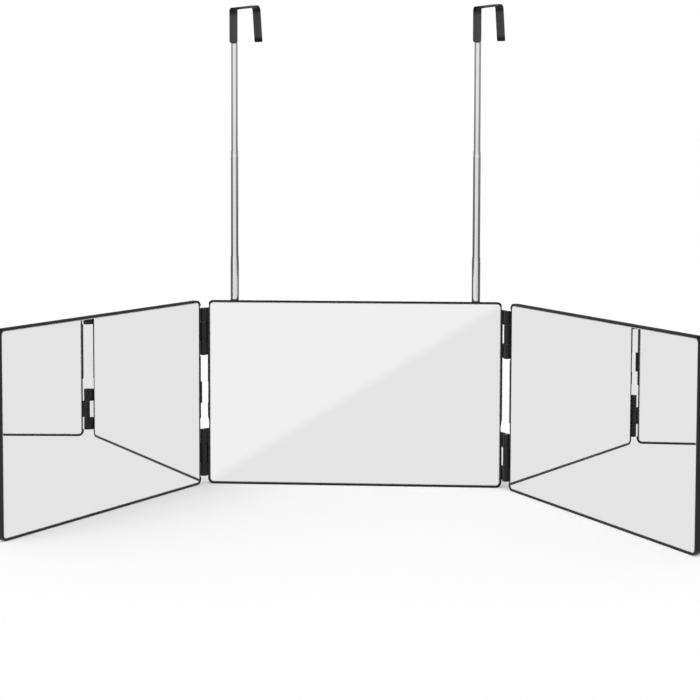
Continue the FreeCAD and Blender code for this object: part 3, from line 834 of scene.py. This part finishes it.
class OBJECT_OT_mirror_stage(MirrorOperator, bpy.types.Operator):
    """Pale floor, soft light, flags for the reflections, and the camera"""

    bl_idname = "object.mirror_stage"
    bl_label = "Set the stage"

    def execute(self, context):
        self.lay_floor()
        self.hang_flags()
        self.light_sky(context.scene)
        self.hang_sun(context.scene)
        self.place_camera(context.scene)
        context.scene.view_settings.view_transform = "Standard"
        return {"FINISHED"}

    def flat_sheet(self, name, corners):
        """One flat face for the stage."""
        mesh = bpy.data.meshes.new(name)
        mesh.from_pydata(corners, [], [list(range(len(corners)))])
        sheet = bpy.data.objects.new(name, mesh)
        bpy.context.scene.collection.objects.link(sheet)
        return sheet

    def lay_floor(self):
        """Pale matt floor that keeps shadows, lifted to white for the camera.

        Metal and glass look through it to the sky's lower half."""
        reach = self.stage.floor_reach
        corners = [(-reach, -reach, 0), (reach, -reach, 0), (reach, reach, 0), (-reach, reach, 0)]
        floor = self.flat_sheet("floor", corners)
        material, tree = bare_material("pale_floor")
        matt = add_node(tree, "ShaderNodeBsdfDiffuse", {"Color": (*self.finish.floor_pale, 1.0)})
        glow = add_node(tree, "ShaderNodeEmission")
        both = add_node(tree, "ShaderNodeAddShader")
        clear = add_node(tree, "ShaderNodeBsdfTransparent")
        mix = add_node(tree, "ShaderNodeMixShader")
        out = add_node(tree, "ShaderNodeOutputMaterial")
        path = add_node(tree, "ShaderNodeLightPath")
        seen = add_node(tree, "ShaderNodeMath", operation="MAXIMUM")
        lift = add_node(tree, "ShaderNodeMath", {1: self.stage.floor_lift}, operation="MULTIPLY")
        link(tree, path, "Is Camera Ray", seen, 0)
        link(tree, path, "Is Transmission Ray", seen, 1)
        link(tree, seen, "Value", lift, 0)
        link(tree, lift, "Value", glow, "Strength")
        link(tree, matt, "BSDF", both, 0)
        link(tree, glow, "Emission", both, 1)
        link(tree, path, "Is Glossy Ray", mix, 0)
        link(tree, both, "Shader", mix, 1)
        link(tree, clear, "BSDF", mix, 2)
        link(tree, mix, "Shader", out, "Surface")
        floor.data.materials.append(material)

    def soft_card(self, name, glow, fades):
        """Glowing card, clear from behind, whose cover is the product of its fades."""
        material, tree = bare_material(name)
        place = add_node(tree, "ShaderNodeTexCoord")
        facing = add_node(tree, "ShaderNodeNewGeometry")
        front = add_node(tree, "ShaderNodeMath", {0: 1.0}, operation="SUBTRACT")
        link(tree, facing, "Backfacing", front, 1)
        cover = self.product(tree, [front] + [self.fade(tree, place, "Object", *fade) for fade in fades])
        clear = add_node(tree, "ShaderNodeBsdfTransparent")
        light = add_node(tree, "ShaderNodeEmission", {"Color": (glow, glow, glow, 1.0)})
        mix = add_node(tree, "ShaderNodeMixShader")
        out = add_node(tree, "ShaderNodeOutputMaterial")
        link(tree, cover, 0, mix, 0)
        link(tree, clear, "BSDF", mix, 1)
        link(tree, light, "Emission", mix, 2)
        link(tree, mix, "Shader", out, "Surface")
        return material

    def fade(self, tree, place, output, axis, start, end, low=0.0, high=1.0):
        """Smooth run from low to high while axis . vector runs from start to end."""
        along = add_node(tree, "ShaderNodeVectorMath", {1: axis}, operation="DOT_PRODUCT")
        values = {"From Min": start, "From Max": end, "To Min": low, "To Max": high}
        run = add_node(tree, "ShaderNodeMapRange", values, interpolation_type="SMOOTHSTEP")
        link(tree, place, output, along, 0)
        link(tree, along, "Value", run, "Value")
        return run

    def product(self, tree, factors):
        """Node that multiplies the first outputs of other nodes."""
        result = factors[0]
        for factor in factors[1:]:
            step = add_node(tree, "ShaderNodeMath", operation="MULTIPLY")
            link(tree, result, 0, step, 0)
            link(tree, factor, 0, step, 1)
            result = step
        return result

    def hang_flags(self, thin_from=0.1, thin_to=0.5):
        """Grey flags at both sides and behind, seen only as the dark edges of the chrome and the rims.

        Their lower edges rise towards the front, out of the view of the wing glasses, and they thin out
        upwards between two heights. They show in reflections alone, so that they neither shade nor hide the
        object."""
        stage = self.stage
        x, near, back, high = stage.flag_place, -stage.flag_front, stage.flag_back, stage.flag_top
        foot, raised, soft = stage.flag_foot, stage.flag_raised, stage.flag_soft
        front_edge = (BACK, near, near + soft)
        top_edge = (DOWN, -high, soft - high)
        thinner = (UP, thin_from, thin_to, 1.0, stage.flag_cover)
        plans = {
            "left_flag": ((-x, near, raised), (-x, back, foot), front_edge),
            "right_flag": ((x, back, foot), (x, near, raised), front_edge),
            "back_flag": ((-x, back, foot), (x, back, foot), top_edge),
        }
        for name, (start, end, edge) in plans.items():
            flag = self.flat_sheet(name, [start, end, (*end[:2], high), (*start[:2], high)])
            flag.data.materials.append(self.soft_card(f"{name}_grey", stage.flag_grey, [edge, thinner]))
            flag.visible_camera = False
            flag.visible_diffuse = False
            flag.visible_shadow = False

    def light_sky(self, scene, haze=0.003, ahead=(0.2, 0.4), overhead=(0.25, 0.6)):
        """Even light from all round, which the camera sees as white.

        Glossy surfaces see white round the horizon, a dark ceiling overhead and the floor's plain tone below,
        with a paler part in front; the straight edge of that part is the slanting sheen in the centre glass.
        Haze is half the height of the horizon's soft edge; ahead and overhead are the direction cosines
        between which the front and the ceiling set in."""
        stage = self.stage
        world = bpy.data.worlds.new("studio")
        scene.world = world
        world.use_nodes = True
        tree = world.node_tree
        tree.nodes.clear()
        path = add_node(tree, "ShaderNodeLightPath")
        way = add_node(tree, "ShaderNodeTexCoord")
        soft = stage.sheen_soft
        ground = self.fade(tree, way, "Generated", UP, -haze, haze, stage.floor_in_glass, 1.0)
        below = self.fade(tree, way, "Generated", DOWN, 0.0, 2 * haze)
        front = self.fade(tree, way, "Generated", FRONT, *ahead)
        across = self.fade(tree, way, "Generated", stage.sheen_across, -soft, soft)
        ceiling = self.fade(tree, way, "Generated", UP, *overhead, 1.0, stage.ceiling_grey)
        paler = self.product(tree, [below, front, across])
        surround = self.product(tree, [ground, ceiling])
        mirrored = add_node(tree, "ShaderNodeMix", {"B": stage.sheen_tone}, data_type="FLOAT")
        direct = add_node(tree, "ShaderNodeMath", operation="MAXIMUM")
        plain = add_node(tree, "ShaderNodeMapRange", {"To Min": stage.sky_light, "To Max": 1.0})
        level = add_node(tree, "ShaderNodeMix", data_type="FLOAT")
        sky = add_node(tree, "ShaderNodeBackground", {"Color": (1.0, 1.0, 1.0, 1.0)})
        out = add_node(tree, "ShaderNodeOutputWorld")
        link(tree, paler, 0, mirrored, "Factor")
        link(tree, surround, 0, mirrored, "A")
        link(tree, path, "Is Camera Ray", direct, 0)
        link(tree, path, "Is Transmission Ray", direct, 1)
        link(tree, direct, "Value", plain, "Value")
        link(tree, path, "Is Glossy Ray", level, "Factor")
        link(tree, plain, "Result", level, "A")
        link(tree, mirrored, "Result", level, "B")
        link(tree, level, "Result", sky, "Strength")
        link(tree, sky, "Background", out, "Surface")

    def hang_sun(self, scene):
        """Wide soft light from above, in front and to the left, so that shadows stay faint."""
        data = bpy.data.lights.new("soft_sun", "SUN")
        data.energy = self.stage.sun_strength
        data.angle = self.stage.sun_width
        sun = bpy.data.objects.new("soft_sun", data)
        sun.rotation_euler = (self.stage.sun_forward, -self.stage.sun_left, 0.0)
        scene.collection.objects.link(sun)

    def place_camera(self, scene):
        """Camera in front and a little above, shifted as the photo's frame is."""
        stage = self.stage
        data = bpy.data.cameras.new("photo_camera")
        data.lens = stage.camera_lens
        data.shift_x, data.shift_y = stage.camera_shift
        camera = bpy.data.objects.new("photo_camera", data)
        camera.location = stage.camera_place
        camera.rotation_euler = (math.pi / 2 - stage.camera_pitch, 0.0, stage.camera_yaw)
        scene.collection.objects.link(camera)
        scene.camera = camera


class VIEW3D_PT_folding_mirror(bpy.types.Panel):
    """Lists the steps that dress the folding mirror"""

    bl_idname = "VIEW3D_PT_folding_mirror"
    bl_label = "Folding Mirror"
    bl_space_type = "VIEW_3D"
    bl_region_type = "UI"
    bl_category = "Folding Mirror"

    def draw(self, context):
        for step in STEPS:
            self.layout.operator(step.bl_idname)


STEPS = (
    OBJECT_OT_mirror_case,
    OBJECT_OT_mirror_glass,
    OBJECT_OT_mirror_poles,
    OBJECT_OT_mirror_hooks,
    OBJECT_OT_mirror_screws,
    OBJECT_OT_mirror_stage,
)
CLASSES = (MirrorSizes, MirrorFinish, MirrorStage, MirrorSettings, *STEPS, VIEW3D_PT_folding_mirror)


def register():
    """Register the settings, the steps and the panel."""
    for cls in CLASSES:
        bpy.utils.register_class(cls)
    bpy.types.Scene.folding_mirror = PointerProperty(type=MirrorSettings)


def unregister():
    """Take back what register did."""
    del bpy.types.Scene.folding_mirror
    for cls in reversed(CLASSES):
        bpy.utils.unregister_class(cls)


def main():
    """Dress the mirror and set its stage."""
    register()
    bpy.ops.object.mirror_case()
    bpy.ops.object.mirror_glass()
    bpy.ops.object.mirror_poles()
    bpy.ops.object.mirror_hooks()
    bpy.ops.object.mirror_screws()
    bpy.ops.object.mirror_stage()


if __name__ == "__main__":
    main()
